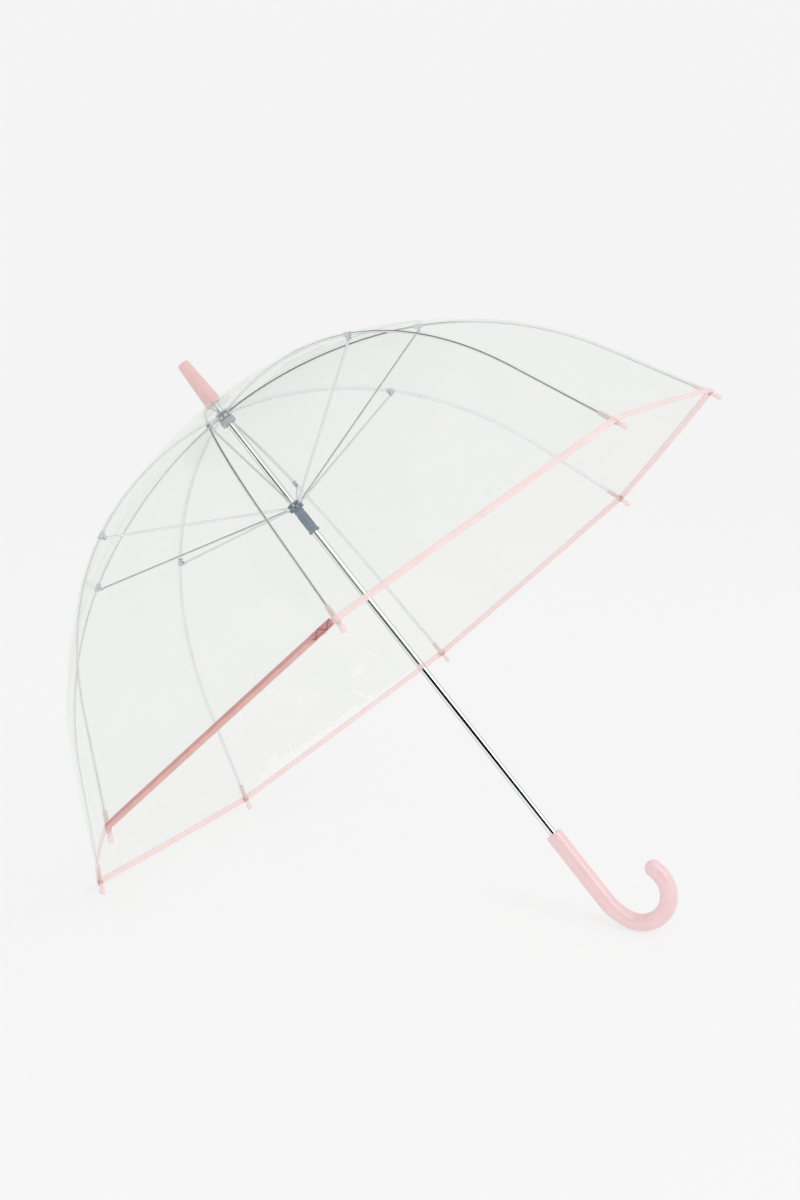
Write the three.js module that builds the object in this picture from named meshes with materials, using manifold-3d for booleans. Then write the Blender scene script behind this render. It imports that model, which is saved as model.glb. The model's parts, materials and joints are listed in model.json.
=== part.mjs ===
// A clear dome stick umbrella, standing open on two rib tips and its crook handle.
// Millimetres. The umbrella is drawn upright, ferrule up, with its rim plane at z = 0,
// and the whole of it is then tipped over until two rib tips and the crook touch the floor.
import * as THREE from 'three';
import { mergeVertices } from 'three/addons/utils/BufferGeometryUtils.js';
import Module from 'manifold-3d';

const wasm = await Module();
wasm.setup();

// ---------------------------------------------------------------- driving dimensions

const RIB_COUNT = 8;
const RIB_STEP = 2 * Math.PI / RIB_COUNT;
const FIRST_RIB = RIB_STEP / 2;
const GAP = 0.35;                       // clearance between neighbouring pieces

const SHAFT = { radius: 4, bore: 3.3, top: 384, bottom: -300 };
const PIVOT_RADIUS = 7;                 // ring wires that carry the ribs and the stretchers
const RING_WIRE = 0.5;
const RING_ROOM = 0.9;                  // from a ring wire's middle to the solid beside it
const NOTCH_Z = 322.9;                  // height of the rib pivots above the rim plane
const NOTCH = { outer: 8.2, hub: 5, below: 4.4, capAbove: 2.1, above: 4.6 };
const STOP = { outer: 8.8, bevel: 1.2, below: 12.1, height: 6.4 };

const RIB = { wire: 1.3, startHeading: -1, blade: 1.5, eye: 1.7, rodStart: 7 };
const RIB_BENDS = [
  { radius: 470, turn: -25.3 },
  { radius: 372, turn: -36.8 },
  { length: 122.5 },
];
const TIP = { sleeve: 2.3, before: 19, beyond: 14, bulb: 2.75, bulbLength: 7 };
const CLIP = { along: 235, drop: 4.8, length: 9, outer: 2.6, pin: 0.7, hole: 1.0, ear: 1.15 };
const STRETCHER = { wire: 1.2, blade: 1.5, eye: 1.6, bladeLength: 8.5, neck: 0.9, hookWeb: 1.1 };

const RUNNER = {
  bore: 4.3,
  body: 5.4,
  collar: 8.5,
  above: 3.4,
  fins: 5,
  length: 36.5,
  flare: 6.6,
  flareHeight: 3.2,
};
const SLOT_WIDTH = 2.2;
const FIN_WIDTH = 5.6;                  // the one fin of the runner that the keyway takes away
const CATCH = { reach: 6.2, width: 1.2, step: 2, ramp: 14, leaf: 28, leafOut: 3, leafIn: 1.9, off: 0.8 };
const CLOSED_SWING = 47.5 * Math.PI / 180;   // how far a rib turns from open to closed

// The film lies off the ribs. Between two ribs it bulges by a third of the way from a straight
// chord to a full circle, less towards the rim and more towards the crown.
const FILM = {
  offset: 3.4,
  thickness: 0.25,
  bulge: 1 / 3,
  rimFade: 90,
  crownFade: 150,
  peakStart: 45,
  hole: 4.4,
  flat: 10.5,
};
const CROWN_Z = 339;                    // underside of the film where the ferrule clamps it
const WASHER = { flat: 10.8, rim: 20, slope: 0.37, thickness: 0.7 };
const TRIM = { width: 6, thickness: 1.3 };
const TIE = { width: 8.5, thickness: 0.8, endAngle: 21.2 * Math.PI / 180 };
const SNAP = { radius: 3.6, height: 1.8, fromTip: 15 };

const FERRULE = { base: 10, tip: 7, bottom: 341, top: 399, bore: 388, chamfer: 0.8, band: 3, round: 1.5 };
const HANDLE = { radius: 9.5, top: -266, socket: -302 };
const CROOK_BENDS = [
  { length: 90.5 },
  { radius: 62, turn: 28 },
  { radius: 33, turn: 165 },
  { length: 4 },
];

// ---------------------------------------------------------------- helpers

const RAD = Math.PI / 180;

// A path in the x-z plane made of straight lines and arcs, each tangent to the last.
function planarPath(x, z, headingDegrees, pieces) {
  const spans = [];
  let state = { x, z, heading: headingDegrees * RAD };
  let length = 0;
  for (const piece of pieces) {
    const turn = (piece.turn ?? 0) * RAD;
    const spanLength = piece.length ?? Math.abs(piece.radius * turn);
    const span = { from: state, start: length, length: spanLength, turn };
    spans.push(span);
    length += span.length;
    state = pointOnSpan(span, span.length);
  }
  const at = (s) => {
    const span = spans.findLast((candidate) => s >= candidate.start) ?? spans[0];
    return pointOnSpan(span, s - span.start);
  };
  return { length, at };
}

function pointOnSpan(span, distance) {
  const { x, z, heading } = span.from;
  if (span.turn === 0) {
    return { x: x + distance * Math.cos(heading), z: z + distance * Math.sin(heading), heading };
  }
  const radius = span.length / span.turn;
  const end = heading + distance / radius;
  return {
    x: x + radius * (Math.sin(end) - Math.sin(heading)),
    z: z - radius * (Math.cos(end) - Math.cos(heading)),
    heading: end,
  };
}

class PlanarCurve extends THREE.Curve {
  constructor(path, from = 0, to = path.length) {
    super();
    this.path = path;
    this.from = from;
    this.to = to;
  }

  getPoint(t, target = new THREE.Vector3()) {
    const point = this.path.at(this.from + t * (this.to - this.from));
    return target.set(point.x, 0, point.z);
  }
}

function solid(geometry) {
  const bare = new THREE.BufferGeometry();
  bare.setAttribute('position', geometry.getAttribute('position').clone());
  if (geometry.index) {
    bare.setIndex(geometry.index.clone());
  }
  const merged = mergeVertices(bare, 1e-4);
  return new wasm.Manifold(new wasm.Mesh({
    numProp: 3,
    vertProperties: new Float32Array(merged.getAttribute('position').array),
    triVerts: new Uint32Array(merged.index.array),
  }));
}

function geometryOf(manifold) {
  const mesh = manifold.getMesh();
  const geometry = new THREE.BufferGeometry();
  geometry.setAttribute('position', new THREE.BufferAttribute(mesh.vertProperties, 3));
  geometry.setIndex(new THREE.BufferAttribute(mesh.triVerts, 1));
  return geometry;
}

function join(first, ...others) {
  return geometryOf(others.reduce((sum, other) => sum.add(solid(other)), solid(first)));
}

function cut(first, ...others) {
  return geometryOf(others.reduce((sum, other) => sum.subtract(solid(other)), solid(first)));
}

// A turned piece: [radius, height] corners, spun about the z axis.
function turned(corners, segments) {
  const points = corners.map(([radius, height]) => new THREE.Vector2(radius, height));
  return new THREE.LatheGeometry(points, segments).rotateX(Math.PI / 2);
}

// A ring-shaped turned piece, whose corners go round once and close on themselves.
function turnedRing(corners, segments) {
  return turned([...corners, corners[0]], segments);
}

// A flat plate in the x-z plane, centred on y = 0.
function plate(shape, thickness, curveSegments = 8) {
  const options = { depth: thickness, bevelEnabled: false, curveSegments };
  const geometry = new THREE.ExtrudeGeometry(shape, options);
  return geometry.translate(0, 0, -thickness / 2).rotateX(Math.PI / 2);
}

function outline(corners) {
  return new THREE.Shape(corners.map(([x, z]) => new THREE.Vector2(x, z)));
}

function roundOutline(x, z, radius) {
  return new THREE.Shape().absarc(x, z, radius, 0, 2 * Math.PI);
}

// A round bar along a path that lies in the x-z plane.
function bar(curve, radius, sides, steps) {
  const section = new THREE.Shape();
  for (let i = 0; i < sides; i += 1) {
    const angle = 2 * Math.PI * i / sides;
    section[i === 0 ? 'moveTo' : 'lineTo'](radius * Math.cos(angle), radius * Math.sin(angle));
  }
  return new THREE.ExtrudeGeometry(section, { steps, bevelEnabled: false, extrudePath: curve });
}

function box(width, depth, height, x, y, z) {
  return new THREE.BoxGeometry(width, depth, height).translate(x, y, z);
}

// The slots that the ribs' or stretchers' blades turn in, one for each rib.
function bladeSlots(inner, low, high) {
  const reach = 12;
  return Array.from({ length: RIB_COUNT }, (_, i) => box(reach, SLOT_WIDTH, high - low,
    inner + reach / 2, 0, (low + high) / 2).rotateZ(FIRST_RIB + i * RIB_STEP));
}

// ---------------------------------------------------------------- layout

const ribPath = planarPath(PIVOT_RADIUS, NOTCH_Z, RIB.startHeading, RIB_BENDS);
const crookPath = planarPath(0, HANDLE.top, -90, CROOK_BENDS);

// The stretcher's pin hangs inside the rib. The stretcher is as long as the rib's inner
// stretch, so its other end stays on the runner's pivot circle all the way down the shaft.
const clipSeat = ribPath.at(CLIP.along);
const clipPin = {
  x: clipSeat.x + CLIP.drop * Math.sin(clipSeat.heading),
  z: clipSeat.z - CLIP.drop * Math.cos(clipSeat.heading),
};
const linkRise = NOTCH_Z - clipPin.z;
const linkReach = clipPin.x - PIVOT_RADIUS;
const linkLength = Math.hypot(linkReach, linkRise);
const linkAngle = Math.atan2(linkRise, linkReach);
const runnerZ = clipPin.z - linkRise;
const runnerTravel = 2 * linkLength * (Math.sin(linkAngle + CLOSED_SWING) - Math.sin(linkAngle));

// The tilt at which the bulbs of the two lowest rib tips and the crook's outside bend are level.
const bulbCentre = ribPath.at(ribPath.length + TIP.beyond - TIP.bulb);
const crookBend = CROOK_BENDS[2].radius;
const crookEntry = crookPath.at(CROOK_BENDS[0].length + CROOK_BENDS[1].radius * CROOK_BENDS[1].turn * RAD);
const crookCentre = {
  x: crookEntry.x - crookBend * Math.sin(crookEntry.heading),
  z: crookEntry.z + crookBend * Math.cos(crookEntry.heading),
};
const lowBulbX = -bulbCentre.x * Math.cos(FIRST_RIB);
const crookReach = crookBend + HANDLE.radius;
const across = lowBulbX - crookCentre.x;
const along = bulbCentre.z - crookCentre.z;
const dropOfBulb = Math.asin((TIP.bulb - crookReach) / Math.hypot(across, along));
const tilt = Math.PI - Math.atan2(along, across) - dropOfBulb;
const lift = TIP.bulb - lowBulbX * Math.sin(tilt) - bulbCentre.z * Math.cos(tilt);

// ---------------------------------------------------------------- the stick

function shaftTube() {
  const tube = turnedRing([
    [SHAFT.bore, SHAFT.bottom],
    [SHAFT.radius, SHAFT.bottom],
    [SHAFT.radius, SHAFT.top],
    [SHAFT.bore, SHAFT.top],
  ], 32);
  const windows = [topCatchStop, bottomCatchStop].map(({ z, down }) => {
    const height = CATCH.step + CATCH.ramp + 2 * GAP;
    const centre = z - down * (height / 2 - GAP);
    return box(SHAFT.radius, CATCH.width + 2 * GAP, height, -SHAFT.radius, 0, centre);
  });
  return cut(tube, ...windows);
}

// A spring catch in the shaft: a leaf in the bore with a tooth out through a window.
// Its square step faces the runner, and its ramp lets the runner ride over it from behind.
const topCatchStop = { z: runnerZ - RUNNER.length - CATCH.off, down: 1 };
const bottomCatchStop = { z: runnerZ - runnerTravel + RUNNER.above + CATCH.off, down: -1 };

function catchSpring({ z, down }) {
  const shape = outline([
    [-CATCH.leafIn, z],
    [-CATCH.reach, z],
    [-CATCH.reach, z - down * CATCH.step],
    [-CATCH.leafOut, z - down * (CATCH.step + CATCH.ramp)],
    [-CATCH.leafOut, z - down * CATCH.leaf],
    [-CATCH.leafIn, z - down * CATCH.leaf],
  ]);
  return plate(shape, CATCH.width);
}

function ferrule() {
  const cut45 = FERRULE.round * (1 - Math.SQRT1_2);
  return turned([
    [0, FERRULE.bore],
    [SHAFT.radius + GAP, FERRULE.bore],
    [SHAFT.radius + GAP, FERRULE.bottom],
    [FERRULE.base - FERRULE.chamfer, FERRULE.bottom],
    [FERRULE.base, FERRULE.bottom + FERRULE.chamfer],
    [FERRULE.base, FERRULE.bottom + FERRULE.band],
    [FERRULE.tip, FERRULE.top - FERRULE.round],
    [FERRULE.tip - cut45, FERRULE.top - cut45],
    [FERRULE.tip - FERRULE.round, FERRULE.top],
    [0, FERRULE.top],
  ], 24);
}

// The milky disc between the film and the ferrule.
function crownWasher() {
  const low = CROWN_Z + FILM.thickness + 1.4 * GAP;
  const drop = (WASHER.rim - WASHER.flat) * WASHER.slope;
  return turnedRing([
    [SHAFT.radius + GAP, low],
    [WASHER.flat, low],
    [WASHER.rim, low - drop],
    [WASHER.rim, low - drop + WASHER.thickness],
    [WASHER.flat, low + WASHER.thickness],
    [SHAFT.radius + GAP, low + WASHER.thickness],
  ], 24);
}

function ringWire(z) {
  return new THREE.TorusGeometry(PIVOT_RADIUS, RING_WIRE, 5, 24).translate(0, 0, z);
}

// The hub that the ribs hang from: slotted fins under the ring wire, a cap over it.
function topNotch() {
  const bottom = NOTCH_Z - NOTCH.below;
  const finTop = NOTCH_Z - RING_ROOM;
  const capLow = NOTCH_Z + NOTCH.capAbove;
  const capTop = NOTCH_Z + NOTCH.above;
  const body = turnedRing([
    [SHAFT.radius + GAP, bottom],
    [NOTCH.outer, bottom],
    [NOTCH.outer, finTop],
    [NOTCH.hub, finTop],
    [NOTCH.hub, capLow],
    [NOTCH.outer, capLow],
    [NOTCH.outer, capTop],
    [SHAFT.radius + GAP, capTop],
  ], 24);
  return cut(body, ...bladeSlots(NOTCH.hub, bottom - 1, finTop + 1));
}

function stopCollar() {
  const low = NOTCH_Z - STOP.below;
  const high = low + STOP.height;
  return turnedRing([
    [SHAFT.radius + GAP, low],
    [STOP.outer - STOP.bevel, low],
    [STOP.outer, low + STOP.bevel],
    [STOP.outer, high - STOP.bevel],
    [STOP.outer - STOP.bevel, high],
    [SHAFT.radius + GAP, high],
  ], 24);
}

// The runner: a sleeve with a slotted collar. Its keyway lets it pass the spring catches.
function runner() {
  const bottom = runnerZ - RUNNER.length;
  const top = runnerZ + RUNNER.above;
  const finLow = runnerZ - RUNNER.fins;
  const body = turnedRing([
    [RUNNER.bore, bottom],
    [RUNNER.flare, bottom],
    [RUNNER.flare, bottom + RUNNER.flareHeight],
    [RUNNER.body, bottom + RUNNER.flareHeight + GAP],
    [RUNNER.body, finLow],
    [RUNNER.collar, finLow],
    [RUNNER.collar, runnerZ - RING_ROOM],
    [RUNNER.body, runnerZ - RING_ROOM],
    [RUNNER.body, runnerZ + RING_ROOM],
    [RUNNER.collar, runnerZ + RING_ROOM],
    [RUNNER.collar, top],
    [RUNNER.bore, top],
  ], 24);
  const keyWidth = CATCH.width + 4 * GAP;
  const keyway = box(RUNNER.body, keyWidth, top - bottom + 2,
    -RUNNER.body / 2 - GAP, 0, (top + bottom) / 2);
  const missingFin = box(2 * RUNNER.body, FIN_WIDTH, top - finLow + 2,
    -2 * RUNNER.body, 0, (top + finLow) / 2);
  const flareGap = box(RUNNER.body, keyWidth, 3 * RUNNER.flareHeight,
    -1.4 * RUNNER.body, 0, bottom);
  return cut(body, ...bladeSlots(RUNNER.body, finLow - 1, top + 1), keyway, missingFin, flareGap);
}

function handle() {
  const tube = bar(new PlanarCurve(crookPath), HANDLE.radius, 16, 30);
  const end = crookPath.at(crookPath.length);
  const roundEnd = new THREE.SphereGeometry(HANDLE.radius * 0.995, 16, 10).translate(end.x, 0, end.z);
  const socket = turned([
    [0, HANDLE.socket],
    [SHAFT.radius + GAP, HANDLE.socket],
    [SHAFT.radius + GAP, HANDLE.top + 1],
    [0, HANDLE.top + 1],
  ], 24);
  return cut(join(tube, roundEnd), socket);
}

// ---------------------------------------------------------------- one rib and its stretcher

// The rib's flattened eye turns on the notch's ring wire. The rest is round wire.
function rib() {
  const seat = ribPath.at(RIB.rodStart + 2);
  const blade = outline([
    [PIVOT_RADIUS, NOTCH_Z - 1.2],
    [seat.x, seat.z - 1.2],
    [seat.x, seat.z + 1.2],
    [PIVOT_RADIUS, NOTCH_Z + 1.2],
  ]);
  const eye = plate(roundOutline(PIVOT_RADIUS, NOTCH_Z, RIB.eye), RIB.blade, 8);
  const hole = plate(roundOutline(PIVOT_RADIUS, NOTCH_Z, RING_WIRE + GAP), RIB.blade * 2, 6);
  const rod = bar(new PlanarCurve(ribPath, RIB.rodStart, ribPath.length + 2), RIB.wire, 6, 20);
  return cut(join(rod, plate(blade, RIB.blade), eye), hole);
}

// A moulded tip: a sleeve on the end of the wire, then a bulb beyond the edge of the film.
function ribTip() {
  const bore = RIB.wire + GAP;
  const wireEnd = 2 + GAP;
  const neck = 1.9;
  const bulbTop = TIP.beyond - TIP.bulbLength;
  const bulbMiddle = TIP.beyond - TIP.bulb;
  const tip = turned([
    [0, wireEnd],
    [bore, wireEnd],
    [bore, -TIP.before],
    [TIP.sleeve, -TIP.before],
    [TIP.sleeve, wireEnd],
    [neck, bulbTop - 1],
    [TIP.bulb, bulbTop + 1],
    [TIP.bulb, bulbMiddle],
    [TIP.bulb * 0.71, bulbMiddle + TIP.bulb * 0.71],
    [0, TIP.beyond],
  ], 10);
  const end = ribPath.at(ribPath.length);
  return tip.rotateY(Math.PI / 2 - end.heading).translate(end.x, 0, end.z);
}

// A moulded clip on the rib, with two ears for the stretcher's pin.
function ribClip() {
  const earInside = STRETCHER.blade / 2 + 0.3;
  const earWidth = 1.9;
  const sleeve = new THREE.CylinderGeometry(CLIP.outer, CLIP.outer, CLIP.length, 10).rotateZ(Math.PI / 2);
  const earShape = outline([
    [-earWidth, 0],
    [-earWidth, -CLIP.drop],
    [-earWidth * 0.6, -CLIP.drop - earWidth * 0.8],
    [earWidth * 0.6, -CLIP.drop - earWidth * 0.8],
    [earWidth, -CLIP.drop],
    [earWidth, 0],
  ]);
  const ears = [-1, 1].map((side) => plate(earShape, CLIP.ear)
    .translate(0, side * (earInside + CLIP.ear / 2), 0));
  const wireHole = new THREE.CylinderGeometry(RIB.wire + GAP, RIB.wire + GAP, CLIP.length * 2, 8)
    .rotateZ(Math.PI / 2);
  const pinHole = plate(roundOutline(0, -CLIP.drop, CLIP.hole), CLIP.length, 4);
  return placeOnRib(cut(join(sleeve, ...ears), wireHole, pinHole));
}

function placeOnRib(geometry) {
  return geometry.rotateY(-clipSeat.heading).translate(clipSeat.x, 0, clipSeat.z);
}

function clipPinBar() {
  const length = 2 * (STRETCHER.blade / 2 + 0.3 + CLIP.ear);
  return new THREE.CylinderGeometry(CLIP.pin, CLIP.pin, length, 10).translate(clipPin.x, 0, clipPin.z);
}

// The stretcher: an eye on the clip's pin, a straight rod, and at the runner an open hook
// that the ring wire lies in, so that it can leave the wire and come back to it.
function stretcher() {
  const web = STRETCHER.hookWeb;
  const hookFloor = -RING_WIRE - GAP - 0.1;
  const lip = -hookFloor + 0.2;
  const hook = plate(outline([
    [-lip, hookFloor],
    [0, hookFloor],
    [STRETCHER.bladeLength - 3.6, web],
    [STRETCHER.bladeLength, web],
    [STRETCHER.bladeLength, -web],
    [STRETCHER.bladeLength - 3.5, -web],
    [3, hookFloor - 1.35],
    [-lip / 2, hookFloor - 1.35],
    [-lip, hookFloor - 0.8],
  ]), STRETCHER.blade);
  const rodStart = STRETCHER.bladeLength - 1;
  const rodEnd = linkLength - 3 * STRETCHER.eye;
  const rod = new THREE.CylinderGeometry(STRETCHER.wire, STRETCHER.wire, rodEnd - rodStart, 8)
    .rotateZ(Math.PI / 2)
    .translate((rodStart + rodEnd) / 2, 0, 0);
  const neck = plate(outline([
    [rodEnd - STRETCHER.wire, -STRETCHER.neck],
    [linkLength, -STRETCHER.neck],
    [linkLength, STRETCHER.neck],
    [rodEnd - STRETCHER.wire, STRETCHER.neck],
  ]), STRETCHER.blade);
  const eye = plate(roundOutline(linkLength, 0, STRETCHER.eye), STRETCHER.blade, 8);
  const hole = plate(roundOutline(linkLength, 0, CLIP.hole), STRETCHER.blade * 2, 4);
  return cut(join(rod, hook, neck, eye), hole)
    .rotateY(-linkAngle)
    .translate(PIVOT_RADIUS, 0, runnerZ);
}

// ---------------------------------------------------------------- film, trim and tie band

// A point at arc length s along the rib, lifted off it, and spun to an angle. Between two ribs
// the film pulls in from a circle towards a straight chord.
function filmPoint(s, angle, offset, bulge) {
  const seat = ribPath.at(s);
  const radius = seat.x - offset * Math.sin(seat.heading);
  const height = seat.z + offset * Math.cos(seat.heading);
  const fromGore = angle - RIB_STEP * Math.round(angle / RIB_STEP);
  const chord = Math.cos(RIB_STEP / 2) / Math.cos(fromGore);
  const pulled = radius * (1 - (1 - bulge) * (1 - chord));
  return onCircle(pulled, angle, height);
}

function onCircle(radius, angle, height) {
  return new THREE.Vector3(radius * Math.cos(angle), radius * Math.sin(angle), height);
}

// Joins rows of points into one closed surface, the last row back to the first. The rows are
// closed rings, or they end in two flat caps. The second half of the rows splits its squares the
// other way, so that an outer skin's triangles lie over the inner skin's.
function skin(rows, closeColumns) {
  const columns = rows[0].length;
  const positions = rows.flat().flatMap((point) => [point.x, point.y, point.z]);
  const index = [];
  const lastColumn = closeColumns ? columns : columns - 1;
  for (let i = 0; i < rows.length; i += 1) {
    for (let j = 0; j < lastColumn; j += 1) {
      const a = i * columns + j;
      const b = i * columns + (j + 1) % columns;
      const c = ((i + 1) % rows.length) * columns + (j + 1) % columns;
      const d = ((i + 1) % rows.length) * columns + j;
      const split = i < rows.length / 2 ? [a, b, c, a, c, d] : [a, b, d, b, c, d];
      index.push(...split);
    }
  }
  if (!closeColumns) {
    for (let i = 1; i < rows.length - 1; i += 1) {
      index.push(0, i * columns, (i + 1) * columns);
      index.push(columns - 1, (i + 2) * columns - 1, (i + 1) * columns - 1);
    }
  }
  const geometry = new THREE.BufferGeometry();
  geometry.setAttribute('position', new THREE.Float32BufferAttribute(positions, 3));
  geometry.setIndex(index);
  return geometry;
}

const GORE_STEPS = 4;
const ringAngles = Array.from({ length: RIB_COUNT * GORE_STEPS }, (_, i) => i * RIB_STEP / GORE_STEPS);

function bulgeAt(s) {
  const edge = ribPath.length - TRIM.width / 2;
  const fromRim = Math.max(0, Math.min(1, (edge - s) / FILM.rimFade));
  const nearCrown = Math.max(0, 1 - s / FILM.crownFade);
  return FILM.bulge * fromRim + (1 - FILM.bulge) * nearCrown;
}

// The dome of clear film: out along the top, round the rim, and back underneath.
function canopy() {
  const rings = 15;
  const edge = ribPath.length - TRIM.width / 2 - GAP;
  const outerOffset = FILM.offset + FILM.thickness;
  const step = (edge - FILM.peakStart) / rings;
  const arcs = Array.from({ length: rings + 1 }, (_, i) => FILM.peakStart + step * i);
  const shell = (offset) => arcs.map((s) => ringAngles.map((a) => filmPoint(s, a, offset, bulgeAt(s))));
  const flat = (radius, z) => ringAngles.map((a) => onCircle(radius, a, z));
  const crownTop = CROWN_Z + FILM.thickness;
  return skin([
    flat(FILM.hole, CROWN_Z),
    flat(FILM.flat, CROWN_Z),
    ...shell(FILM.offset),
    ...shell(outerOffset).reverse(),
    flat(FILM.flat, crownTop),
    flat(FILM.hole, crownTop),
  ], true);
}

// A strip that lies along the rim, between two lifts off the ribs.
function rimStrip(width, low, high, angles, closed) {
  const from = ribPath.length - width / 2;
  const to = ribPath.length + width / 2;
  const row = (s, offset) => angles.map((a) => filmPoint(s, a, offset, 0));
  return skin([row(from, low), row(to, low), row(to, high), row(from, high)], closed);
}

function edgeTrim() {
  return rimStrip(TRIM.width, FILM.offset, FILM.offset + TRIM.thickness, ringAngles, true);
}

const TIE_GORE = 1.5 * Math.PI;

function tieBand() {
  const low = FILM.offset + TRIM.thickness + GAP;
  const angles = [-1, -0.5, 0, 0.5, 1].map((part) => TIE_GORE + part * TIE.endAngle);
  return rimStrip(TIE.width, low, low + TIE.thickness, angles, false);
}

// The snap that the tie band closes on, inside the rim near one rib tip.
function tieSnap() {
  const end = ribPath.at(ribPath.length);
  const sideways = end.x * Math.sin(RIB_STEP / 2) - SNAP.fromTip;
  const inward = SNAP.height / 2 + GAP - FILM.offset;
  const radius = end.x * Math.cos(RIB_STEP / 2) + inward * Math.sin(end.heading);
  const height = end.z - inward * Math.cos(end.heading);
  return new THREE.CylinderGeometry(SNAP.radius, SNAP.radius, SNAP.height, 16)
    .rotateZ(-Math.PI / 2)
    .rotateY(-end.heading - Math.PI / 2)
    .translate(radius, sideways, height)
    .rotateZ(TIE_GORE);
}

// ---------------------------------------------------------------- assembly

const FINISH = {
  chrome: [0xd8dadd, 0.15, 1],
  wire: [0xb4bcc4, 0.35, 0.9],
  slate: [0x67717f, 0.5, 0],
  grey: [0xa9adb2, 0.5, 0],
  film: [0xeef0eb, 0.08, 0],
  milky: [0xf0eeee, 0.35, 0],
  pink: [0xf3cccd, 0.25, 0],
  ferrulePink: [0xecc0c0, 0.4, 0],
  trimPink: [0xf2cfcb, 0.4, 0],
  tiePink: [0xd3a09c, 0.4, 0],
};

const umbrella = new THREE.Group();

function add(name, geometry, finish, angle = 0) {
  const [color, roughness, metalness] = FINISH[finish];
  const material = new THREE.MeshStandardMaterial({ color, roughness, metalness });
  const mesh = new THREE.Mesh(geometry, material);
  mesh.name = name;
  mesh.rotation.z = angle;
  umbrella.add(mesh);
}

add('shaft', shaftTube(), 'chrome');
add('ferrule', ferrule(), 'ferrulePink');
add('crown_washer', crownWasher(), 'milky');
add('top_notch', topNotch(), 'slate');
add('notch_ring', ringWire(NOTCH_Z), 'wire');
add('stop_collar', stopCollar(), 'grey');
add('runner', runner(), 'slate');
add('runner_ring', ringWire(runnerZ), 'wire');
add('top_catch', catchSpring(topCatchStop), 'wire');
add('bottom_catch', catchSpring(bottomCatchStop), 'wire');
add('handle', handle(), 'pink');
add('canopy', canopy(), 'film');
add('edge_trim', edgeTrim(), 'trimPink');
add('tie_band', tieBand(), 'tiePink');
add('tie_snap', tieSnap(), 'trimPink');

const ribPieces = [
  ['rib', rib(), 'wire'],
  ['rib_clip', ribClip(), 'grey'],
  ['clip_pin', clipPinBar(), 'wire'],
  ['rib_tip', ribTip(), 'trimPink'],
  ['stretcher', stretcher(), 'wire'],
];
for (let i = 0; i < RIB_COUNT; i += 1) {
  for (const [name, geometry, finish] of ribPieces) {
    add(`${name}_${i + 1}`, geometry, finish, FIRST_RIB + i * RIB_STEP);
  }
}

// Tipped over onto the floor, with the middle of its bounding box over the origin.
umbrella.rotation.y = -tilt;
umbrella.position.z = lift;
const extent = new THREE.Box3().setFromObject(umbrella, true);
umbrella.position.x = -(extent.min.x + extent.max.x) / 2;

const foldingUmbrella = new THREE.Group();
foldingUmbrella.add(umbrella);

export default foldingUmbrella;
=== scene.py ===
"""A clear dome umbrella with a pink crook handle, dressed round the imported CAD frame.

Lengths are metres. Pieces are made in the umbrella's own upright frame, with +Z towards the
ferrule and the rim plane at z = 0, and BASIS then places them. A rib's pieces are made with that
rib in the x-z plane and turned to the rib's place round the shaft.
"""

import json
from math import asin, atan2, copysign, cos, exp, hypot, pi, radians, sin, tan

import bpy
import numpy as np
from mathutils import Matrix, Quaternion, Vector, noise


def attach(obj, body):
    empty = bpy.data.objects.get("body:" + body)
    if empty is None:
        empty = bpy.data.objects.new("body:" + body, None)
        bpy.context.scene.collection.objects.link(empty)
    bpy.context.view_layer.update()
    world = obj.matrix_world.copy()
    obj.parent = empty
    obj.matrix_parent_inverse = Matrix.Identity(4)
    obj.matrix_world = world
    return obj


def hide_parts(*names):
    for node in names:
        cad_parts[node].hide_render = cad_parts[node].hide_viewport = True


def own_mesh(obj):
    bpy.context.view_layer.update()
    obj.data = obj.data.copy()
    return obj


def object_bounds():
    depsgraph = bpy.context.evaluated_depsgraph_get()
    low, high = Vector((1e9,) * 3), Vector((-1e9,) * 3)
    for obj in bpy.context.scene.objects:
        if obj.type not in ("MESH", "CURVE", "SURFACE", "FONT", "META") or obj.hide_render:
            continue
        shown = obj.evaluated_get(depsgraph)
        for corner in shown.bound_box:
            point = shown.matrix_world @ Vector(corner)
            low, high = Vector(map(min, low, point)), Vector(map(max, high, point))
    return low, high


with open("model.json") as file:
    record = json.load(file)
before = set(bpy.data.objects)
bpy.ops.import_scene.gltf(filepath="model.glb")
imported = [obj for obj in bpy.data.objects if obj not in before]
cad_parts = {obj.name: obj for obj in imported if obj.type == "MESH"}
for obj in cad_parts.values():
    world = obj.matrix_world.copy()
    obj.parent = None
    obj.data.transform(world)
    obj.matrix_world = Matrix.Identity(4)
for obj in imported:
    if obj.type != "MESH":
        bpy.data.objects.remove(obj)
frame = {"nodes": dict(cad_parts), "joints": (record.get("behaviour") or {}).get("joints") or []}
CAD_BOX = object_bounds()
MIDDLE = (CAD_BOX[0] + CAD_BOX[1]) / 2

# ---- driving dimensions

MM = 0.001
RIB_COUNT = 8
RIB_STEP = 2 * pi / RIB_COUNT
HALF_STEP = RIB_STEP / 2
GAP = 0.35 * MM
POLE = 0.01 * MM  # how near the axis a solid profile starts and ends
OVERLAP = 0.3 * MM  # how deep a fin or a ridge is let into the tube it stands on
SHEEN_BAND = (6 * MM, 15 * MM)  # how high the painted sheen band, a whiter streak that stands for reflected light, reaches over the rim, from one rib to the next

NOTCH_Z = 322.9 * MM  # the rib pivots, above the rim plane
PIVOT_RADIUS = 7 * MM
RING_ROOM = 0.9 * MM
SHAFT = {"radius": 4 * MM, "wall": 0.7 * MM, "top": 384 * MM, "bottom": -300 * MM}
BORE = SHAFT["radius"] + GAP  # of what sits on the shaft
CATCH = {"width": 1.2 * MM, "step": 2 * MM, "ramp": 14 * MM, "off": 0.8 * MM}

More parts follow.
